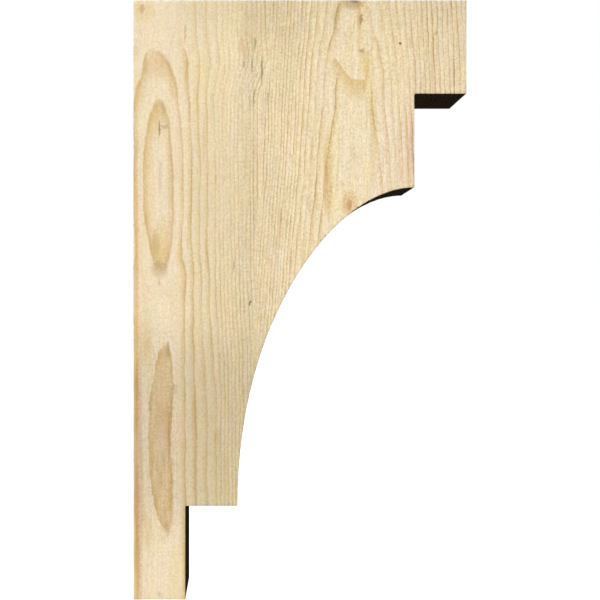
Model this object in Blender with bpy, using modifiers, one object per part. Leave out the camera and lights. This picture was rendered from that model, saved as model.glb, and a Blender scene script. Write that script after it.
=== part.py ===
"""A rough-sawn wooden corbel bracket, cut from one thick plank.

The outline is stepped at the nose and at the foot, and a hollow sweep joins the two steps.
+X points out from the wall, +Z is up, and the plank's thickness lies along Y.
The origin is the middle of the back face, which goes flat against the wall. All lengths are in metres.
"""

import math

import bpy

INCH = 0.0254

PROJECTION = 20 * INCH
HEIGHT = 36 * INCH
THICKNESS = 3.5 * INCH

# Each step is the same share of the projection as of the height.
STEP_SHARE = 5 / 32
STEP_OUT = PROJECTION * STEP_SHARE
STEP_UP = HEIGHT * STEP_SHARE

# The hollow sweep starts upright at its foot and ends level at its head. These are its two pulls,
# as a share of the sweep's height and of its width. A true quarter ellipse would have 0.552 for both.
FOOT_PULL = 0.60
HEAD_PULL = 0.44
SWEEP_SEGMENTS = 48

# The sawn corners of the outline turn by far more than the facets of the sweep do.
CORNER_ANGLE = math.radians(40)
EDGE_EASE = 0.001
EDGE_EASE_SEGMENTS = 2
WELD_DISTANCE = 0.00001

WOOD_COLOUR = (0.78, 0.62, 0.39, 1.0)
WOOD_ROUGHNESS = 0.8


def clear_scene():
    for obj in list(bpy.data.objects):
        bpy.data.objects.remove(obj, do_unlink=True)


def new_collection(name):
    collection = bpy.data.collections.new(name)
    bpy.context.scene.collection.children.link(collection)
    return collection


def wood_material():
    material = bpy.data.materials.new("rough_sawn_fir")
    material.use_nodes = True
    shader = material.node_tree.nodes["Principled BSDF"]
    shader.inputs["Base Color"].default_value = WOOD_COLOUR
    shader.inputs["Roughness"].default_value = WOOD_ROUGHNESS
    shader.inputs["Metallic"].default_value = 0.0
    return material


def sweep_point(share):
    """A point of the hollow sweep, from its foot (share 0) to its head (share 1), as (out, up)."""
    foot_out, foot_up = 2 * STEP_OUT, -HEIGHT / 2 + STEP_UP
    head_out, head_up = PROJECTION - STEP_OUT, HEIGHT / 2 - 2 * STEP_UP
    width, height = head_out - foot_out, head_up - foot_up
    rest = 1 - share
    outs = (0, 0, 1 - HEAD_PULL, 1)
    ups = (0, FOOT_PULL, 1, 1)
    weights = (rest**3, 3 * share * rest**2, 3 * share**2 * rest, share**3)
    out = sum(weight * value for weight, value in zip(weights, outs))
    up = sum(weight * value for weight, value in zip(weights, ups))
    return foot_out + width * out, foot_up + height * up


def bracket_outline():
    """The outline seen from the side, as (out, up) points, from the foot of the wall face and round."""
    foot, head = -HEIGHT / 2, HEIGHT / 2
    post_and_lower_step = [
        (0, foot),
        (STEP_OUT, foot),
        (STEP_OUT, foot + STEP_UP),
    ]
    sweep = [sweep_point(i / SWEEP_SEGMENTS) for i in range(SWEEP_SEGMENTS + 1)]
    nose = [
        (PROJECTION - STEP_OUT, head - STEP_UP),
        (PROJECTION, head - STEP_UP),
        (PROJECTION, head),
        (0, head),
    ]
    return post_and_lower_step + sweep + nose


def extruded_outline(name, outline, thickness):
    """A flat outline filled on both faces and standing upright, with its thickness along Y."""
    curve = bpy.data.curves.new(name, "CURVE")
    curve.dimensions = "2D"
    curve.fill_mode = "BOTH"
    curve.extrude = thickness / 2
    spline = curve.splines.new("POLY")
    spline.points.add(len(outline) - 1)
    for point, (out, up) in zip(spline.points, outline):
        point.co = (out, up, 0, 1)
    spline.use_cyclic_u = True
    obj = bpy.data.objects.new(name, curve)
    obj.rotation_euler = (math.radians(90), 0, 0)
    return obj


def as_mesh(obj, collection):
    """The same shape as a mesh object, with the caps that Blender leaves loose welded on."""
    name = obj.name
    collection.objects.link(obj)
    bpy.context.view_layer.update()
    evaluated = obj.evaluated_get(bpy.context.evaluated_depsgraph_get())
    mesh = bpy.data.meshes.new_from_object(evaluated)
    mesh.transform(obj.matrix_world)
    bpy.data.objects.remove(obj, do_unlink=True)
    solid = bpy.data.objects.new(name, mesh)
    solid.data.name = name
    collection.objects.link(solid)
    weld = solid.modifiers.new("Weld caps", "WELD")
    weld.merge_threshold = WELD_DISTANCE
    return solid


def ease_edges(obj):
    """Takes the sharpness off the sawn edges; the facets of the sweep are too flat to count."""
    bevel = obj.modifiers.new("Eased edges", "BEVEL")
    bevel.width = EDGE_EASE
    bevel.segments = EDGE_EASE_SEGMENTS
    bevel.limit_method = "ANGLE"
    bevel.angle_limit = CORNER_ANGLE


def build_bracket():
    collection = new_collection("Wooden corbel bracket")
    flat_shape = extruded_outline("bracket", bracket_outline(), THICKNESS)
    bracket = as_mesh(flat_shape, collection)
    bracket.data.shade_smooth()
    bracket.data.set_sharp_from_angle(angle=CORNER_ANGLE)
    ease_edges(bracket)
    bracket.data.materials.clear()
    bracket.data.materials.append(wood_material())
    return bracket


clear_scene()
build_bracket()
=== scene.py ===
"""Dresses the wooden corbel bracket: a rough-sawn plank with its growth rings, knots and saw marks.

The bracket keeps the frame's own axes: +X out from the wall, +Z up, and the plank's thickness along Y.
The wood's figure is worked out in millimetres from three lengths: out from the wall, deep behind the
front face, and up from the middle of the wall face.
"""

import math

import bmesh
import bpy
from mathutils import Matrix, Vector


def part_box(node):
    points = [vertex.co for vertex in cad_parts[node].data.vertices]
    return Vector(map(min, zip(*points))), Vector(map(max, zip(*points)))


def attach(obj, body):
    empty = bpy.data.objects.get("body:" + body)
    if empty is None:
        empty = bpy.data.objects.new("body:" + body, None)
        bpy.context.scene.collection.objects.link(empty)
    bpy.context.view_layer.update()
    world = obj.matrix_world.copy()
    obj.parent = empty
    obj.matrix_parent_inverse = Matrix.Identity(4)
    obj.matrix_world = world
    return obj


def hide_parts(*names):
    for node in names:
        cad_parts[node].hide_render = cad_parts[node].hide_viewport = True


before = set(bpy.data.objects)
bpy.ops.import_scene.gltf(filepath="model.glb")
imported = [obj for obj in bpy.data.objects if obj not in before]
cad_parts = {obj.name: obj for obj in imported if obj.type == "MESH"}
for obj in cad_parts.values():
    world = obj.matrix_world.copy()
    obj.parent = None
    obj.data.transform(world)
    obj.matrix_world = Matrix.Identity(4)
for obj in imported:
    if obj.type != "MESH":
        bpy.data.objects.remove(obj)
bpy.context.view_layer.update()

bl_info = {
    "name": "Wooden corbel bracket",
    "version": (1, 0, 0),
    "blender": (4, 5, 0),
    "location": "View3D > Sidebar > Corbel",
    "description": "Builds a rough-sawn wooden corbel bracket and its plain stage",
    "category": "Mesh",
}

NODE = "bracket"
BODY = "root"
LOWEST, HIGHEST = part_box(NODE)
_, THICKNESS, HEIGHT = HIGHEST - LOWEST

MM = 0.001
MM_PER_M = 1000
WELD_DISTANCE = 0.01 * MM
FLAT_ANGLE = math.radians(0.5)


class Number:
    """A number on its way through a node tree. A sum written with it adds its Math node."""

    def __init__(self, maker, socket):
        self.maker = maker
        self.socket = socket

    def __add__(self, other):
        return self.maker.maths("ADD", self, other)

    def __radd__(self, other):
        return self.maker.maths("ADD", other, self)

    def __sub__(self, other):
        return self.maker.maths("SUBTRACT", self, other)

    def __rsub__(self, other):
        return self.maker.maths("SUBTRACT", other, self)

    def __mul__(self, other):
        return self.maker.maths("MULTIPLY", self, other)

    def __rmul__(self, other):
        return self.maker.maths("MULTIPLY", other, self)

    def __truediv__(self, other):
        return self.maker.maths("DIVIDE", self, other)

    def __rtruediv__(self, other):
        return self.maker.maths("DIVIDE", other, self)


class Nodes:
    """Adds the wood's nodes to one tree, be it a material's or a modifier's."""

    def __init__(self, tree):
        self.tree = tree

    def add(self, kind, settings, values, output=0):
        """A new node: its settings are made first, then each socket gets its value or its link."""
        node = self.tree.nodes.new(kind)
        for name, setting in settings.items():
            setattr(node, name, setting)
        pairs = values.items() if isinstance(values, dict) else enumerate(values)
        for key, value in pairs:
            if isinstance(value, Number):
                self.tree.links.new(value.socket, node.inputs[key])
            else:
                node.inputs[key].default_value = value
        return Number(self, node.outputs[output]) if node.outputs else None

    def maths(self, operation, *values):
        return self.add("ShaderNodeMath", {"operation": operation}, values)

    def vector(self, operation, *values, output=0):
        return self.add("ShaderNodeVectorMath", {"operation": operation}, values, output)

    def step(self, value, start, end):
        """Goes smoothly from 0 at start to 1 at end. The start may be the higher one."""
        settings = {"interpolation_type": "SMOOTHSTEP"}
        values = {"Value": value, "From Min": start, "From Max": end}
        return self.add("ShaderNodeMapRange", settings, values)

    def stretch(self, value, begin, end):
        """1 along a stretch that sets in over the first pair of values and dies over the second."""
        return self.step(value, *begin) * self.step(value, *end)

    def square(self, value):
        return value * value

    def length(self, first, second):
        return self.maths("SQRT", self.square(first) + self.square(second))

    def noise(self, place, cell, seed, detail=0.0):
        """Soft noise between about -1 and 1, with cells of this size (out, deep, up) in millimetres."""
        shrink = [1 / size for size in cell]
        spot = self.vector("MULTIPLY_ADD", place, shrink, [seed * 7.31, seed * 3.17, seed * 5.73])
        values = {"Vector": spot, "Scale": 1.0, "Detail": detail, "Roughness": 0.55}
        return (self.add("ShaderNodeTexNoise", {}, values) - 0.5) * 2.6

    def chance(self, number):
        """A steady random value from 0 to 1 for each whole number."""
        return self.add("ShaderNodeTexWhiteNoise", {"noise_dimensions": "1D"}, {"W": number})

    def blob(self, place, centre, radii, softness=0.5):
        """1 inside a ball drawn out to the radii (out, deep, up), and 0 outside it."""
        away = self.vector("SUBTRACT", place, centre)
        away = self.vector("DIVIDE", away, radii)
        reach = self.vector("DOT_PRODUCT", away, away, output="Value")
        return self.step(reach, 1 + softness, 1 - softness)

    def blend(self, share, first, second, kind="MIX"):
        """One colour passing into another."""
        settings = {"data_type": "RGBA", "blend_type": kind, "clamp_factor": True}
        return self.add("ShaderNodeMix", settings, {0: share, 6: first, 7: second}, output=2)

    def wood_place(self, position):
        """The position in the wood as (out, deep, up) in millimetres, and each of the three lengths."""
        scale = [MM_PER_M] * 3
        place = self.vector("MULTIPLY_ADD", position, scale, [0, THICKNESS / 2 * MM_PER_M, 0])
        return place, *self.parts(place)

    def parts(self, place):
        """The three lengths of a place, one by one."""
        return [self.add("ShaderNodeSeparateXYZ", {}, [place], output=i) for i in range(3)]


# The growth rings run round two hearts behind the front face, as in the timber of a forked stem.
# A heart that comes near the face closes its rings there into an ellipse or an arch.
LEFT_HEART_OUT = 39.1
UPPER_ELLIPSE_UP = 174
UPPER_ELLIPSE_DEPTH = 26.5
UPPER_ELLIPSE_DIP = 0.00050
LOWER_ELLIPSE_UP = -210
LOWER_ELLIPSE_DEPTH = 31
LOWER_ELLIPSE_DIP = 4.8
LOWER_ELLIPSE_REACH = 146
FLANK_DEPTH = 28
MIDDLE_DEPTH = 38.5
TOP_DEPTH = 49.5
SECOND_RING = 46.8
WIDE_RING = 11.0
LOW_RING = 15.0
NARROW_FROM = 92
NARROW_RING = 5.6

RIGHT_HEART_OUT = 336
ARCH_FOOT_UP = 152
ARCH_FOOT_DEPTH = 38.5
ARCH_SLOPE = 0.098
ARCH_LEAST_DEPTH = 8.0
ARCH_RING = 60
ARCH_CORE = 36
RIM_RING = 11.4
NEAR_RING = 7.9
CLOSE_FROM = 34
CLOSE_RING = 4.6
NOSE_RING = 7.0
CORE_RING = 8

# How far the left heart leans out at the near ends of the two ellipses, and the heights over which each
# lean sets in and dies.
ELLIPSE_LEANS = (
    (3.2, (122, 88), (20, 50)),
    (-2.6, (115, 155), (275, 225)),
)

# Late wood sets in part way through a ring, its edge line sets in late, and the lower ellipse is brown
# right through.
LATE_FROM = 0.30
EDGE_FROM = 0.74
ELLIPSE_FILL = 0.62

# Where the wood changes on its way out from the wall, or up: each pair is where a smooth change begins
# and ends, and two pairs are where a stretch sets in and dies.
TOP_END = (300, 375)
FINE_GRAIN = (118, 190)
CLOSE_LINES = (118, 160)
CLOSE_GRAIN = (170, 190)
NOSE_GRAIN = (415, 435)
NOSE_BLOCK = (425, 440)
END_FACE = (480, 504)
PLAIN_MIDDLE = ((104, 124), (182, 170))
ARCH_LEFT = ((235, 255), (312, 298))
ARCH_RIGHT = ((340, 362), (425, 415))
HOOK_REACH = ((303, 305.5), (362, 354))

# The soft noises in the wood: the size of a cell (out, deep, up) in millimetres, and the seed.
SLOW_WAVER = ((60, 60, 120), 1)
QUICK_WAVER = ((20, 20, 40), 2)
ROUGH_WAVER = ((5.5, 5.5, 7.5), 3)
UNEVEN_RINGS = ((6.5, 6.5, 260), 4)
RAGGED_EDGE = ((4, 4, 10), 5)
FADING = ((9, 9, 60), 6)
FIBRE = ((2.2, 2.2, 26), 11)
LONG_FIBRE = ((4.0, 4.0, 80), 12)
SPECK = ((3.1, 3.1, 3.4), 13)
WARM_DRIFT = ((11, 11, 40), 14)
BLUE_DRIFT = ((13, 13, 50), 15)
YELLOW_STREAKS = ((5.5, 5.5, 75), 16)
WARM_STREAKS = ((5, 5, 60), 17)
SAW_MARKS = ((45, 45, 2.6), 18)
SAWN_PATCHES = ((40, 40, 50), 19)
SAWN_ROUGHNESS = ((3, 3, 12), 21)
BROKEN_LINES = ((3.0, 3.0, 14), 22)

WOOD_ROUGHNESS = 0.82
WOOD_GLOSS = 0.25

# Stretches where the ring lines hardly show: how far out and how high the middle lies, half its width,
# half its height, and how much of the lines it takes away.
QUIET_DEPTH = 70
QUIET = (
    (338, 380, 31, 84, 1.0),
    (26, 452, 56, 80, 0.85),
    (70, 400, 12, 26, 0.55),
    (424, 390, 22, 110, 0.28),
    (498, 385, 12, 110, 0.35),
    (88, 424, 36, 56, 0.45),
    (71, 258, 17, 50, 0.45),
    (182, 380, 26, 160, 0.25),
    (294, 186, 10, 56, 0.45),
    (297, 318, 10, 60, 0.55),
    (39, -8, 35, 62, 0.65),
    (40, -430, 36, 66, 0.75),
    (19, -374, 12, 36, 0.60),
)

# Small marks on the front face: how far out and how high the middle lies, half its width, half its
# height, how strongly it shows, and its tint.
MARK_DEPTH = 14
MARKS = (
    (39.8, 262, 1.4, 12, 0.62, "check"),
    (47.5, 264, 5, 3.5, 0.40, "grey"),
    (37, 268, 11, 36, 0.20, "resin"),
    (37, 357, 20, 20, 0.20, "rust"),
    (79, 407, 1.8, 15, 0.36, "brown"),
    (66, 225, 3.5, 60, 0.16, "rust"),
    (25, 175, 8, 62, 0.25, "resin"),
    (44, -205, 16, 132, 0.18, "rust"),
    (34.5, 88, 5.5, 17, 0.26, "brown"),
    (41.0, 190, 3.0, 26, 0.22, "grey"),
    (40.6, 88, 11, 32, 0.42, "resin"),
    (39.0, 47, 12, 12, 0.36, "brown"),
    (39.2, 28, 1.2, 7, 0.40, "grey"),
    (39.2, -448, 1.4, 5, 0.35, "grey"),
    (39.2, -448, 5, 1.4, 0.20, "grey"),
    (17, 440, 17, 16, 0.30, "resin"),
    (13.2, 444, 4, 7, 0.45, "brown"),
    (5.3, 20, 2.4, 190, 0.34, "rust"),
    (3, 60, 5, 230, 0.22, "resin"),
    (4.8, -150, 2.8, 60, 0.50, "rust"),
    (5.2, -306, 3.4, 62, 0.60, "rust"),
    (63, -136, 4, 7, 0.35, "brown"),
    (52.8, -76, 3.2, 12, 0.40, "brown"),
    (52, -349, 4, 12, 0.30, "brown"),
    (9, -290, 6, 200, 0.26, "brown"),
    (8, -290, 5, 200, 0.18, "rust"),
    (5.5, -412, 4.0, 62, 0.50, "resin"),
    (6, -400, 4.0, 60, 0.20, "brown"),
    (78, -424, 6, 46, 0.25, "resin"),
    (54.5, -212, 2.0, 36, 0.45, "brown"),
    (127.5, -209, 5, 12, 0.30, "rust"),
    (126, 184, 2, 8, 0.55, "rust"),
    (107, 250, 1.8, 38, 0.40, "resin"),
    (196, 349, 1.5, 20, 0.62, "check"),
    (185.4, 390, 1.4, 12, 0.45, "check"),
    (180.9, 356.6, 1.3, 12, 0.45, "check"),
    (183.9, 307.8, 1.4, 12, 0.40, "check"),
    (205, 307.8, 1.3, 10, 0.35, "check"),
    (168.7, 360, 1.4, 6, 0.40, "check"),
    (164, 387, 4, 13, 0.35, "rust"),
    (153, 52, 1.2, 8, 0.45, "check"),
    (206.8, 61, 4, 8, 0.30, "rust"),
    (223, 110, 2.2, 34, 0.42, "rust"),
    (225, 128, 1.3, 14, 0.30, "check"),
    (177.8, -4.6, 1.4, 3.0, 0.85, "check"),
    (193, -29, 5, 5, 0.30, "rust"),
    (334, 452, 13, 9, 0.55, "brown"),
    (309, 440, 5, 34, 0.22, "brown"),
    (337, 456, 7, 4, 0.50, "knot"),
    (345, 436, 4, 22, 0.50, "rust"),
    (347, 428, 2.4, 8, 0.50, "knot"),
    (348.5, 379.5, 5, 3, 0.55, "brown"),
    (346.5, 381, 1.6, 1.6, 0.45, "check"),
    (345, 402, 5, 28, 0.35, "resin"),
    (353, 362, 8, 20, 0.50, "resin"),
    (357, 318, 4.0, 52, 0.22, "resin"),
    (366, 250, 5, 70, 0.36, "resin"),
    (328.7, 145, 4, 9, 0.35, "knot"),
    (328.7, 147, 11, 18, 0.58, "rust"),
    (297, 194, 7, 66, 0.42, "resin"),
    (296.5, 190, 5, 64, 0.20, "brown"),
    (292.5, 176, 4, 44, 0.26, "rust"),
    (407, 391.7, 1.9, 2.6, 1.0, "check"),
    (400, 399, 3.5, 6, 0.40, "rust"),
    (406.4, 231.6, 3.0, 44, 0.32, "rust"),
    (422, 228, 8, 66, 0.32, "rust"),
    (456, 363, 3.0, 44, 0.28, "rust"),
    (489, 345, 1.6, 24, 0.35, "check"),
    (461, 406, 1.8, 3, 0.35, "check"),
)


def left_side(nodes, out, up, waver):
    """How far out from the left heart each point lies, and how far either way before it leans."""
    side = (out + waver - LEFT_HEART_OUT) * (1 - 0.15 * nodes.step(up, *TOP_END))
    away = nodes.maths("ABSOLUTE", side)
    side = side + 9 * nodes.step(up, 290, 400) * nodes.step(away, 30, 10)
    side = side + 7 * nodes.step(side, -17, -36) * nodes.stretch(up, (395, 318), (225, 275))
    from_middle = nodes.maths("ABSOLUTE", up - LOWER_ELLIPSE_UP)
    lean = (2 + 0.00058 * nodes.square(from_middle)) * nodes.step(from_middle, 200, 130)
    for most, begin, end in ELLIPSE_LEANS:
        lean = lean + most * nodes.stretch(up, begin, end)
    return side - lean * nodes.step(away, 36, 10), away


def left_depth(nodes, up, away):
    """How deep the left heart runs. It comes nearest the front face at the middle of each ellipse."""
    from_middle = nodes.maths("ABSOLUTE", up - LOWER_ELLIPSE_UP)
    upper = UPPER_ELLIPSE_DEPTH + UPPER_ELLIPSE_DIP * nodes.square(up - UPPER_ELLIPSE_UP)
    upper = upper - 2.2 * nodes.step(up, 335, 372)
    reach = from_middle / LOWER_ELLIPSE_REACH
    lower = LOWER_ELLIPSE_DEPTH + LOWER_ELLIPSE_DIP * nodes.square(nodes.square(reach))
    deepest = MIDDLE_DEPTH + (TOP_DEPTH - MIDDLE_DEPTH) * nodes.step(up, 230, 320)
    depth = nodes.maths("SMOOTH_MIN", nodes.maths("MINIMUM", upper, lower), deepest, 4.0)
    low = nodes.step(up, 110, 30)
    hold = nodes.step(away - 26 + 9 * low, 0, 34 - 10 * low) * (0.5 + 0.5 * low)
    hold = hold * (1 - nodes.step(up, *TOP_END))
    return depth - (depth - FLANK_DEPTH + 6 * low) * hold


def left_rings(nodes, out, deep, up, waver):
    """The ring count round the left heart, which comes near the face at the two ellipses."""
    side, away = left_side(nodes, out, up, waver)
    radius = nodes.length(side, deep - left_depth(nodes, up, away))
    past_second = radius - SECOND_RING
    narrow = nodes.maths("SMOOTH_MAX", radius - NARROW_FROM, 0.0, 10.0)
    widened = nodes.maths("MAXIMUM", past_second, 0.0) * nodes.step(up, 60, -200)
    widened = nodes.maths("MINIMUM", widened, NARROW_FROM - SECOND_RING)
    count = 2 + past_second / WIDE_RING + narrow * (1 / NARROW_RING - 1 / WIDE_RING)
    return count - widened * (1 / WIDE_RING - 1 / LOW_RING)


def right_rings(nodes, place, out, deep, up, waver):
    """The ring count round the right heart, which makes the tall arch under the top edge."""
    side = out + waver - RIGHT_HEART_OUT
    side = side + 0.055 * nodes.maths("MAXIMUM", 190 - up, 0.0) * nodes.step(side, 0, -70)
    depth = ARCH_FOOT_DEPTH + ARCH_SLOPE * (up - ARCH_FOOT_UP)
    depth = depth - 3 * nodes.blob(place, (RIGHT_HEART_OUT, 0, 350), (90, 90, 45), 0.9)
    depth = nodes.maths("MAXIMUM", depth, ARCH_LEAST_DEPTH)
    radius = nodes.length(side, deep - depth)
    inner = nodes.maths("MAXIMUM", (radius - ARCH_RING) / 7, -0.86)
    inner = inner + nodes.maths("MINIMUM", radius - ARCH_CORE, 0.0) / CORE_RING
    rim = nodes.maths("MAXIMUM", radius - ARCH_RING, 0.0)
    near = nodes.maths("SMOOTH_MAX", rim - RIM_RING, 0.0, 3.0)
    far = nodes.maths("SMOOTH_MAX", rim - CLOSE_FROM, 0.0, 8.0)
    spacing = CLOSE_RING + (NOSE_RING - CLOSE_RING) * nodes.step(side, 0, 60)
    outer = rim / RIM_RING + near * (1 / NEAR_RING - 1 / RIM_RING) + far * (1 / spacing - 1 / NEAR_RING)
    return 2 + nodes.maths("MINIMUM", inner, 0.0) + outer


def lower_ellipse(nodes, place):
    """1 in and just round the brown ellipse low on the post."""
    return nodes.blob(place, (43, 0, LOWER_ELLIPSE_UP), (26, 60, 160), 0.3)


def ring_count(nodes, place, out, deep, up):
    """How many rings out from its heart each point lies, and how near it is to where the hearts meet."""
    fine = nodes.step(out, *FINE_GRAIN)
    nose = nodes.step(out, *NOSE_GRAIN)
    slow = nodes.noise(place, *SLOW_WAVER) * 1.3
    quick = nodes.noise(place, *QUICK_WAVER) * (1.3 - 0.5 * fine + 0.5 * nose)
    rough = nodes.noise(place, *ROUGH_WAVER, detail=2.0) * (1.5 - 0.75 * fine + 0.25 * nose)
    uneven = nodes.noise(place, *UNEVEN_RINGS) * (0.3 + 0.6 * fine)
    ragged = nodes.noise(place, *RAGGED_EDGE, detail=2.0) * lower_ellipse(nodes, place) * 2.4
    calm = 1 - 0.65 * nodes.step(out, *END_FACE)
    waver = slow + (quick + rough) * calm + uneven + ragged
    left = left_rings(nodes, out, deep, up, waver)
    right = right_rings(nodes, place, out, deep, up, waver)
    seam = nodes.step(nodes.maths("ABSOLUTE", left - right), 2.2, 0.6)
    return nodes.maths("SMOOTH_MIN", left, right, 1.0), seam


def darkest(nodes, place, out):
    """How far through each ring its late wood is at its darkest."""
    plain = 0.86 + 0.07 * nodes.step(out, 60, 118)
    return nodes.maths("MAXIMUM", plain, 0.95 * lower_ellipse(nodes, place))


def late_wood(nodes, rings, place, out):
    """Late wood darkens slowly outward through each ring and stops sharply at the ring's edge."""
    through = nodes.maths("FRACT", rings)
    full = darkest(nodes, place, out)
    filled = ELLIPSE_FILL * lower_ellipse(nodes, place) * nodes.maths("LESS_THAN", rings, 1.0)
    late = nodes.maths("MAXIMUM", nodes.step(through, LATE_FROM, full), filled)
    return late * nodes.step(through, 1.0, full)


def ring_edge(nodes, rings, place, out):
    """The thin dark line at the end of each ring."""
    through = nodes.maths("FRACT", rings)
    full = darkest(nodes, place, out)
    return nodes.step(through, EDGE_FROM, full) * nodes.step(through, 1.0, full)


def line_strength(nodes, place, out, up, rings, seam):
    """How plainly the ring lines show: weakly in the middle, by the arch and where hearts meet."""
    chance = nodes.chance(nodes.maths("FLOOR", rings) + 0.5)
    close = nodes.step(out, *CLOSE_LINES)
    strength = 0.54 - 0.04 * close + (0.47 + 0.37 * close) * chance
    weakness = 0.25 + 0.4 * nodes.step(up, 60, 140) + 0.12 * nodes.step(up, -60, -140)
    strength = strength * (1 - weakness * nodes.stretch(out, *PLAIN_MIDDLE))
    strength = strength * (1 - 0.2 * nodes.stretch(out, *ARCH_RIGHT)) * (1 - 0.8 * seam)
    strength = strength * (1 - 0.2 * nodes.stretch(out, *ARCH_LEFT))
    for quiet_out, quiet_up, half_width, half_height, share in QUIET:
        quiet = nodes.blob(place, (quiet_out, 0, quiet_up), (half_width, QUIET_DEPTH, half_height))
        strength = strength * (1 - share * quiet)
    fading = 0.8 + 0.45 * nodes.noise(place, *FADING)
    broken = 1 + 0.45 * nodes.noise(place, *BROKEN_LINES) * nodes.step(out, *CLOSE_GRAIN)
    return strength * fading * broken


def hook_height(nodes, out):
    """How high the hooked upper edge of the arch's inner figure stands at each place out."""
    hook = 369 - 1.35 * nodes.maths("SMOOTH_MAX", out - 308, 0.0, 2.0)
    flat = 337 - 0.10 * (out - 333)
    rise = 335 + 5.0 * nodes.maths("SMOOTH_MAX", out - 353, 0.0, 2.0)
    return nodes.maths("SMOOTH_MAX", nodes.maths("SMOOTH_MAX", hook, flat, 6.0), rise, 4.0)


def hook_shade(nodes, out, deep, up):
    """Late wood under the hooked edge in the arch, sharp above and fading downward."""
    below = hook_height(nodes, out) - up
    window = nodes.stretch(out, *HOOK_REACH) * nodes.step(deep, 24, 10)
    return nodes.stretch(below, (-1.6, 2.4), (42, 0)) * window


def aged(nodes, place, out, up, colour, wood):
    """The stretches that have greyed: low on the post, down the middle and at the top."""
    low = nodes.blob(place, (60, 44, -201), (900, 900, 134), 0.98)
    middle = nodes.stretch(out, (70, 100), (240, 180)) * nodes.step(up, 420, 150)
    streak = nodes.blob(place, (174, 0, 250), (12, 90, 420), 0.9)
    top = nodes.stretch(out, (160, 178), (285, 215)) * nodes.step(up, 290, 420)
    top = top + nodes.step(out, 405, 440) * 0.55 + nodes.step(up, 360, 465) * nodes.step(out, 50, 90)
    colour = nodes.blend(low * 0.55, colour, wood.weathered[:], "MULTIPLY")
    share = middle * 0.22 + streak * 0.15 + top * 0.25
    return nodes.blend(share, colour, wood.weathered[:], "MULTIPLY")


def marked(nodes, place, colour, wood):
    """The small knots, checks, resin and stains."""
    for out, up, half_width, half_height, share, tint in MARKS:
        spot = nodes.blob(place, (out, 0, up), (half_width, MARK_DEPTH, half_height), 0.7)
        colour = nodes.blend(spot * share, colour, getattr(wood, tint)[:], "MULTIPLY")
    return colour


def ringed(nodes, place, out, up, rings, seam, late, wood):
    """The bare wood's colour, from early wood through late wood to each ring's edge."""
    fine = nodes.step(out, *FINE_GRAIN)
    nose = nodes.step(out, *NOSE_BLOCK)
    strength = line_strength(nodes, place, out, up, rings, seam)
    colour = nodes.blend(late * strength * (1.15 - 0.3 * fine), wood.pale[:], wood.tan[:])
    share = (0.45 + 0.35 * fine + 0.15 * nose) * (1 - 0.6 * nodes.stretch(out, *ARCH_RIGHT))
    return nodes.blend(ring_edge(nodes, rings, place, out) * strength * share, colour, wood.dark[:])


def surface_tint(nodes, place, out, up, fibre, speck, sawn):
    """The light and dark of the fibres, specks and saw marks, and the wood's drifts of colour."""
    fine = nodes.step(out, *FINE_GRAIN)
    brown = lower_ellipse(nodes, place)
    strands = 0.060 + 0.070 * fine + 0.06 * brown
    specks = 0.155 + 0.065 * fine + 0.06 * brown
    tone = 1 + fibre * strands + speck * specks - sawn * 0.045
    warmth = nodes.noise(place, *WARM_DRIFT) * 0.03 + nodes.noise(place, *WARM_STREAKS) * 0.014
    blueness = nodes.noise(place, *BLUE_DRIFT) * 0.06 + 0.03 * nodes.step(out, *NOSE_BLOCK)
    pink = nodes.step(out, 350, 374) * nodes.step(up, 340, 270)
    blueness = blueness - nodes.noise(place, *YELLOW_STREAKS) * 0.075 + pink * 0.09
    reds = 1 + (tone - 1) * 0.80 + warmth
    blues = 1.01 + (tone - 1) * 1.35 + blueness - 0.045 * nodes.step(out, 60, 100)
    return nodes.add("ShaderNodeCombineColor", {}, [reds, tone, blues])


def wood_material(wood):
    material = bpy.data.materials.new("rough_sawn_fir")
    material.use_nodes = True
    tree = material.node_tree
    shader = tree.nodes["Principled BSDF"]
    nodes = Nodes(tree)
    position = nodes.add("ShaderNodeTexCoord", {}, {}, output="Object")
    place, out, deep, up = nodes.wood_place(position)
    rings, seam = ring_count(nodes, place, out, deep, up)
    late = late_wood(nodes, rings, place, out)
    fibre = nodes.noise(place, *FIBRE, detail=1.0) + nodes.noise(place, *LONG_FIBRE) * 0.7
    speck = nodes.noise(place, *SPECK, detail=1.0)
    patches = nodes.step(nodes.noise(place, *SAWN_PATCHES), -0.2, 0.8)
    sawn = nodes.noise(place, *SAW_MARKS) * patches

    colour = ringed(nodes, place, out, up, rings, seam, late, wood)
    colour = nodes.blend(hook_shade(nodes, out, deep, up), colour, wood.tan[:])
    colour = aged(nodes, place, out, up, colour, wood)
    ragged = nodes.vector("MULTIPLY_ADD", [1.6, 0.0, 3.0], speck, place)
    colour = marked(nodes, ragged, colour, wood)
    tint = surface_tint(nodes, place, out, up, fibre, speck, sawn)
    colour = nodes.blend(1.0, colour, tint, "MULTIPLY")

    tree.links.new(colour.socket, shader.inputs["Base Color"])
    shader.inputs["Roughness"].default_value = WOOD_ROUGHNESS
    shader.inputs["Specular IOR Level"].default_value = WOOD_GLOSS
    height = late * 0.3 + fibre * 0.25 + speck * 0.2 + sawn * 0.3
    values = {"Strength": 0.5, "Distance": 0.6 * MM, "Height": height}
    bump = nodes.add("ShaderNodeBump", {}, values)
    tree.links.new(bump.socket, shader.inputs["Normal"])
    return material


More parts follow.
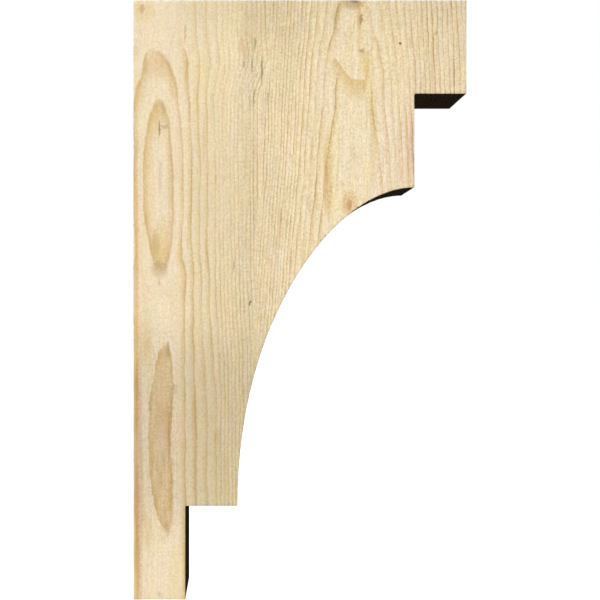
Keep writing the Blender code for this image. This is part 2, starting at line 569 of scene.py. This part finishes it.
def sliced_plank(cells):
    """A copy of the solid whose faces are cut into a fine lattice along each axis."""
    work = bmesh.new()
    work.from_mesh(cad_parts[NODE].data)
    bmesh.ops.remove_doubles(work, verts=work.verts, dist=WELD_DISTANCE)
    bmesh.ops.dissolve_limit(work, angle_limit=FLAT_ANGLE, verts=work.verts, edges=work.edges)
    for axis in (1, 0, 2):
        normal = Vector((0, 0, 0))
        normal[axis] = 1
        size = HIGHEST[axis] - LOWEST[axis]
        count = round(size / cells[axis])
        for i in range(1, count):
            point = normal * (LOWEST[axis] + size * i / count)
            everything = work.verts[:] + work.edges[:] + work.faces[:]
            bmesh.ops.bisect_plane(
                work, geom=everything, dist=WELD_DISTANCE / 10, plane_co=point, plane_no=normal,
            )
    mesh = bpy.data.meshes.new("sawn_bracket")
    work.to_mesh(mesh)
    work.free()
    return mesh


def relief_modifier(obj, relief):
    """Raises the late wood and roughens the sawn faces, with the same rings as the colour."""
    tree = bpy.data.node_groups.new("Sawn relief", "GeometryNodeTree")
    tree.interface.new_socket("Geometry", in_out="INPUT", socket_type="NodeSocketGeometry")
    tree.interface.new_socket("Geometry", in_out="OUTPUT", socket_type="NodeSocketGeometry")
    nodes = Nodes(tree)
    start = nodes.add("NodeGroupInput", {}, {})
    position = nodes.add("GeometryNodeInputPosition", {}, {})
    normal = nodes.add("GeometryNodeInputNormal", {}, {})
    place, out, deep, up = nodes.wood_place(position)
    rings, _ = ring_count(nodes, place, out, deep, up)
    rough = nodes.noise(place, *SAWN_ROUGHNESS, detail=1.0)
    height = late_wood(nodes, rings, place, out) * 0.5 + 0.35 * rough - 0.85
    values = {"Vector": normal, "Scale": height * (relief / 1.2)}
    offset = nodes.add("ShaderNodeVectorMath", {"operation": "SCALE"}, values)
    moved = nodes.add("GeometryNodeSetPosition", {}, {"Geometry": start, "Offset": offset})
    nodes.add("NodeGroupOutput", {}, [moved])
    modifier = obj.modifiers.new("Sawn relief", "NODES")
    modifier.node_group = tree


def applied(obj):
    """Makes the modifiers' result the object's own mesh."""
    bpy.context.view_layer.update()
    evaluated = obj.evaluated_get(bpy.context.evaluated_depsgraph_get())
    mesh = bpy.data.meshes.new_from_object(evaluated)
    obj.modifiers.clear()
    obj.data = mesh
    return obj


class CorbelWood(bpy.types.PropertyGroup):
    """The sawn surface and the wood's colours."""

    pale: bpy.props.FloatVectorProperty(
        name="Early wood", description="Pale wood of each ring", subtype="COLOR", size=4, min=0, max=1,
        default=(0.862, 0.716, 0.486, 1.0),
    )
    tan: bpy.props.FloatVectorProperty(
        name="Late wood", description="Darker wood of each ring", subtype="COLOR", size=4, min=0, max=1,
        default=(0.740, 0.540, 0.270, 1.0),
    )
    dark: bpy.props.FloatVectorProperty(
        name="Ring edge", description="Line where a ring ends", subtype="COLOR", size=4, min=0, max=1,
        default=(0.510, 0.345, 0.150, 1.0),
    )
    weathered: bpy.props.FloatVectorProperty(
        name="Weathering", description="Tint of greyed wood", subtype="COLOR", size=4, min=0, max=1,
        default=(0.67, 0.655, 0.61, 1.0),
    )
    knot: bpy.props.FloatVectorProperty(
        name="Knots", description="Tint of knots", subtype="COLOR", size=4, min=0, max=1,
        default=(0.26, 0.13, 0.05, 1.0),
    )
    check: bpy.props.FloatVectorProperty(
        name="Checks", description="Tint of splits and pits", subtype="COLOR", size=4, min=0, max=1,
        default=(0.20, 0.14, 0.02, 1.0),
    )
    brown: bpy.props.FloatVectorProperty(
        name="Brown stains", description="Tint of brown stains", subtype="COLOR", size=4, min=0, max=1,
        default=(0.55, 0.42, 0.28, 1.0),
    )
    rust: bpy.props.FloatVectorProperty(
        name="Rust stains", description="Tint of orange stains", subtype="COLOR", size=4, min=0, max=1,
        default=(0.88, 0.62, 0.42, 1.0),
    )
    resin: bpy.props.FloatVectorProperty(
        name="Resin", description="Tint of yellow resin", subtype="COLOR", size=4, min=0, max=1,
        default=(0.88, 0.78, 0.42, 1.0),
    )
    grey: bpy.props.FloatVectorProperty(
        name="Grey stains", description="Tint of grey stains", subtype="COLOR", size=4, min=0, max=1,
        default=(0.46, 0.44, 0.43, 1.0),
    )
    relief: bpy.props.FloatProperty(
        name="Relief", description="How far the late wood stands up", subtype="DISTANCE",
        default=0.3 * MM, min=0, max=1 * MM,
    )
    cell_out: bpy.props.FloatProperty(
        name="Cell out", description="Width of a mesh cell across the grain", subtype="DISTANCE",
        default=1.75 * MM, min=1 * MM, max=20 * MM,
    )
    cell_deep: bpy.props.FloatProperty(
        name="Cell deep", description="Depth of a mesh cell through the plank", subtype="DISTANCE",
        default=2.6 * MM, min=1 * MM, max=20 * MM,
    )
    cell_up: bpy.props.FloatProperty(
        name="Cell up", description="Height of a mesh cell along the grain", subtype="DISTANCE",
        default=6.5 * MM, min=1 * MM, max=20 * MM,
    )


class CorbelStage(bpy.types.PropertyGroup):
    """The camera, the lights and the floor."""

    view_angle: bpy.props.FloatProperty(
        name="View angle", description="Field of view that the bracket's height fills", subtype="ANGLE",
        default=math.radians(45),
    )
    camera_out: bpy.props.FloatProperty(
        name="Camera out", description="How far from the wall the camera stands", subtype="DISTANCE",
        default=0.1615,
    )
    key_left: bpy.props.FloatProperty(
        name="Key left", description="Angle of the key light to the camera's left", subtype="ANGLE",
        default=math.radians(35),
    )
    key_up: bpy.props.FloatProperty(
        name="Key up", description="Angle of the key light above the camera", subtype="ANGLE",
        default=math.radians(38),
    )
    key_share: bpy.props.FloatProperty(
        name="Key share", description="The key's share of the front's light", subtype="FACTOR",
        default=0.4, min=0, max=1,
    )
    ambient: bpy.props.FloatProperty(
        name="Ambient", description="Light that reaches the shaded sides", default=0.010, min=0,
    )
    floor_drop: bpy.props.FloatProperty(
        name="Floor drop", description="How far below the foot the floor lies", subtype="DISTANCE",
        default=0.6,
    )


def build_camera(stage):
    data = bpy.data.cameras.new("photo_camera")
    data.sensor_width = 36
    data.lens = data.sensor_width / 2 / math.tan(stage.view_angle / 2)
    distance = HEIGHT / 2 / math.tan(stage.view_angle / 2)
    data.shift_x = ((LOWEST.x + HIGHEST.x) / 2 - stage.camera_out) / HEIGHT
    camera = bpy.data.objects.new("photo_camera", data)
    camera.location = (stage.camera_out, LOWEST.y - distance, (LOWEST.z + HIGHEST.z) / 2)
    camera.rotation_euler = (math.radians(90), 0, 0)
    bpy.context.scene.collection.objects.link(camera)
    bpy.context.scene.camera = camera
    return camera


def build_lamp(name, camera, toward, front_share, spread):
    """A broad far lamp that stands with the camera and gives the front this share of full light."""
    data = bpy.data.lights.new(name, "SUN")
    data.energy = math.pi * front_share / toward.z
    data.angle = spread
    lamp = bpy.data.objects.new(name, data)
    lamp.parent = camera
    lamp.rotation_mode = "QUATERNION"
    lamp.rotation_quaternion = toward.to_track_quat("Z", "Y")
    bpy.context.scene.collection.objects.link(lamp)


def build_world(stage):
    world = bpy.data.worlds.new("white_studio")
    world.use_nodes = True
    tree = world.node_tree
    tree.nodes.clear()
    nodes = Nodes(tree)
    seen = nodes.add("ShaderNodeLightPath", {}, {}, output="Is Camera Ray")
    dim = nodes.add("ShaderNodeBackground", {}, {"Color": (1, 0.8, 0.75, 1), "Strength": stage.ambient})
    white = nodes.add("ShaderNodeBackground", {}, {"Color": (1, 1, 1, 1), "Strength": 1.0})
    mixed = nodes.add("ShaderNodeMixShader", {}, [seen, dim, white])
    nodes.add("ShaderNodeOutputWorld", {}, [mixed])
    bpy.context.scene.world = world


def build_floor(stage):
    bpy.ops.mesh.primitive_plane_add(size=60, location=(0, 0, LOWEST.z - stage.floor_drop))
    floor = bpy.context.object
    floor.name = "studio_floor"
    material = bpy.data.materials.new("pale_floor")
    material.use_nodes = True
    shader = material.node_tree.nodes["Principled BSDF"]
    shader.inputs["Base Color"].default_value = (0.9, 0.9, 0.9, 1)
    shader.inputs["Emission Color"].default_value = (1, 1, 1, 1)
    shader.inputs["Emission Strength"].default_value = 1.0
    floor.data.materials.append(material)
    floor.visible_diffuse = False
    floor.visible_glossy = False
    floor.visible_shadow = False


class CORBEL_OT_stage(bpy.types.Operator):
    """Set up the camera, the lights and the pale floor"""

    bl_idname = "corbel.stage"
    bl_label = "Build stage"

    def execute(self, context):
        stage = context.scene.corbel_stage
        context.scene.view_settings.view_transform = "Standard"
        camera = build_camera(stage)
        left, up = stage.key_left, stage.key_up
        toward = Vector((-math.sin(left) * math.cos(up), math.sin(up), math.cos(left) * math.cos(up)))
        build_lamp("key_light", camera, toward, stage.key_share, math.radians(25))
        build_lamp("front_light", camera, Vector((0, 0, 1)), 1 - stage.key_share, math.radians(4))
        build_world(stage)
        build_floor(stage)
        return {"FINISHED"}


class CORBEL_OT_bracket(bpy.types.Operator):
    """Build the rough-sawn bracket over its solid"""

    bl_idname = "corbel.bracket"
    bl_label = "Build bracket"

    def execute(self, context):
        wood = context.scene.corbel_wood
        coarse = 1
        mesh = sliced_plank([coarse * size for size in (wood.cell_out, wood.cell_deep, wood.cell_up)])
        piece = bpy.data.objects.new("sawn_bracket", mesh)
        context.scene.collection.objects.link(piece)
        relief_modifier(piece, wood.relief)
        applied(piece)
        piece.data.shade_smooth()
        piece.data.materials.clear()
        piece.data.materials.append(wood_material(wood))
        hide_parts(NODE)
        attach(piece, BODY)
        return {"FINISHED"}


class CORBEL_PT_panel(bpy.types.Panel):
    """The bracket's settings and its two build steps"""

    bl_idname = "CORBEL_PT_panel"
    bl_label = "Corbel bracket"
    bl_space_type = "VIEW_3D"
    bl_region_type = "UI"
    bl_category = "Corbel"

    def draw(self, context):
        for group, operator in (("corbel_stage", CORBEL_OT_stage), ("corbel_wood", CORBEL_OT_bracket)):
            settings = getattr(context.scene, group)
            box = self.layout.box()
            for name in settings.bl_rna.properties.keys():
                if name not in ("rna_type", "name"):
                    box.prop(settings, name)
            box.operator(operator.bl_idname)


CLASSES = (CorbelWood, CorbelStage, CORBEL_OT_stage, CORBEL_OT_bracket, CORBEL_PT_panel)


def register():
    for cls in CLASSES:
        bpy.utils.register_class(cls)
    bpy.types.Scene.corbel_wood = bpy.props.PointerProperty(type=CorbelWood)
    bpy.types.Scene.corbel_stage = bpy.props.PointerProperty(type=CorbelStage)


def unregister():
    del bpy.types.Scene.corbel_stage
    del bpy.types.Scene.corbel_wood
    for cls in reversed(CLASSES):
        bpy.utils.unregister_class(cls)


def main():
    register()
    bpy.ops.corbel.stage()
    bpy.ops.corbel.bracket()


if __name__ == "__main__":
    main()
